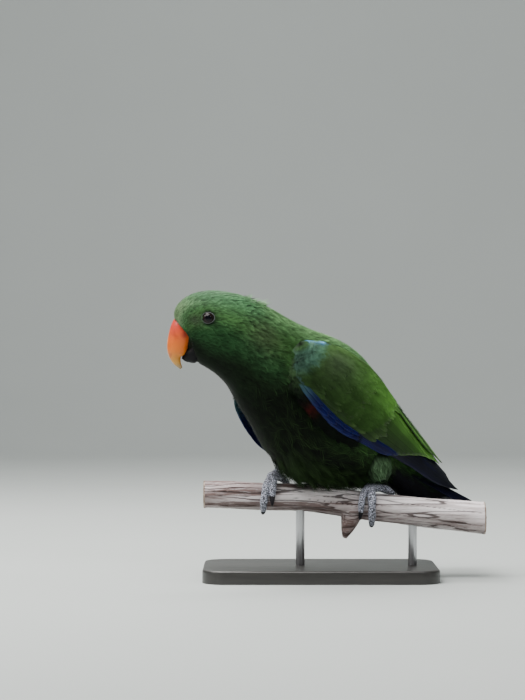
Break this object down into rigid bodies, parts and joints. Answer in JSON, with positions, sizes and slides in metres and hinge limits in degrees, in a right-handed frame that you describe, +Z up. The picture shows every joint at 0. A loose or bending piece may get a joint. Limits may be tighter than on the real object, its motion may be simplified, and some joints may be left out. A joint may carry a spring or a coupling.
{
  "type": "parrot figure",
  "caption": "Life-size green male eclectus parrot leaning forward on a cut branch perch, held up by a plain display stand.",
  "frame": {"origin": "centre of the stand base's underside", "axes": "+Z up; +X from the bird's bill towards its tail, along the perch; +Y away from the side the picture shows, towards the bird's right wing"},
  "size_m": [0.2872, 0.1525, 0.2604],
  "materials": {
    "green_plumage": "soft body feathers, green",
    "wing_plumage": "smooth wing feathers, yellow green with blue edges",
    "tail_plumage": "dark blue-black tail feathers",
    "orange_bill": "satin horn, orange red to yellow",
    "black_bill": "satin black horn",
    "eye": "wet dark eye",
    "grey_skin": "scaly grey skin",
    "claw": "dark horn",
    "ring_metal": "plain closed leg ring",
    "bark": "weathered, debarked and cracked",
    "stand": "matt black",
    "stand_rod": "brushed"
  },
  "bodies": {
    "root": {"head": "green_plumage", "bill_upper": "orange_bill", "bill_lower": "black_bill", "eye_left": "eye", "eye_right": "eye", "neck": "green_plumage", "torso": "green_plumage", "wing_left": "wing_plumage", "wing_right": "wing_plumage", "tail": "tail_plumage", "thigh_left": "green_plumage", "thigh_right": "green_plumage", "foot_left": "grey_skin", "foot_right": "grey_skin", "claw_left_inner_front": "claw", "claw_left_outer_front": "claw", "claw_left_inner_rear": "claw", "claw_left_outer_rear": "claw", "claw_right_inner_front": "claw", "claw_right_outer_front": "claw", "claw_right_inner_rear": "claw", "claw_right_outer_rear": "claw", "leg_ring": "ring_metal", "perch": "bark", "stand_base": "stand", "stand_rod_left": "stand_rod", "stand_rod_right": "stand_rod"}
  },
  "joints": []
}
